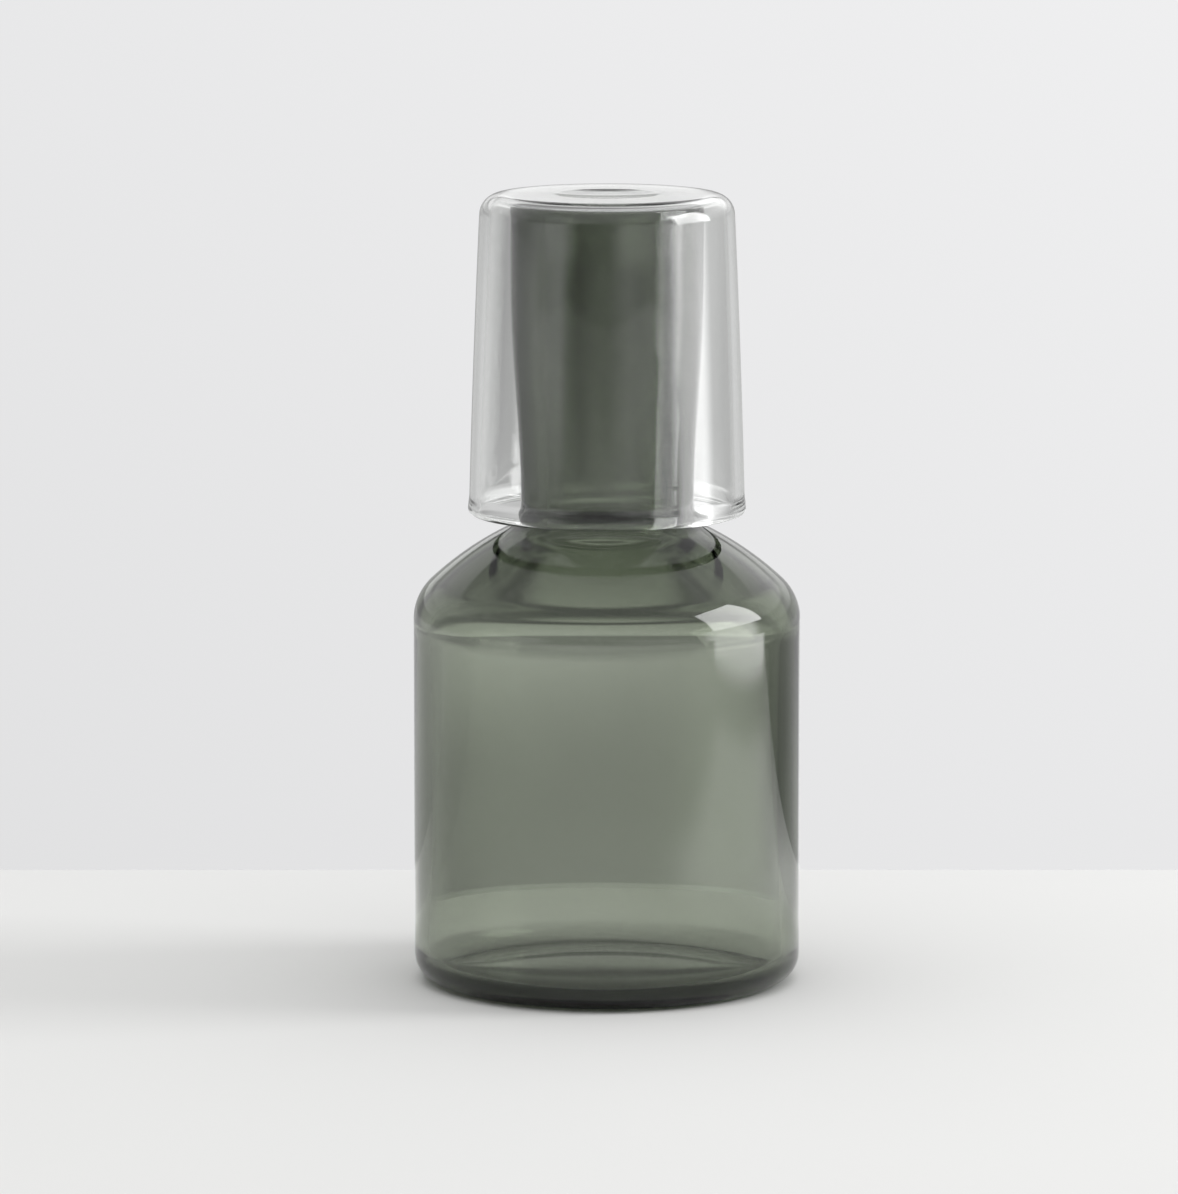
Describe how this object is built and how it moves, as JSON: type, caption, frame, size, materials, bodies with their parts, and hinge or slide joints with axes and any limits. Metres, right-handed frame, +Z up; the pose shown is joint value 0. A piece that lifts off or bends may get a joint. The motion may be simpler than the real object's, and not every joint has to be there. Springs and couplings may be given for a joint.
{
  "type": "glass carafe",
  "caption": "Smoked glass bedside carafe with a cylindrical body, sloping shoulder and waisted neck, lidded by a clear glass tumbler turned upside down over the neck.",
  "frame": {"origin": "middle of the carafe's base, on the surface it stands on", "axes": "+Z up along the common axis of carafe and tumbler, +X to the right in the picture, +Y away from the viewer"},
  "size_m": [0.1, 0.1, 0.2045],
  "materials": {
    "smoked_glass": "blown soda-lime glass, smoked grey-green all through, smooth and glossy",
    "clear_glass": "blown soda-lime glass, clear, fire-polished and glossy"
  },
  "bodies": {
    "carafe": {"carafe": "smoked_glass"},
    "tumbler": {"tumbler": "clear_glass"}
  },
  "joints": [
    {"name": "tumbler_lift", "type": "slide", "parent": "carafe", "child": "tumbler", "axis": [0, 0, 1], "range_m": [0, 0.1]}
  ]
}
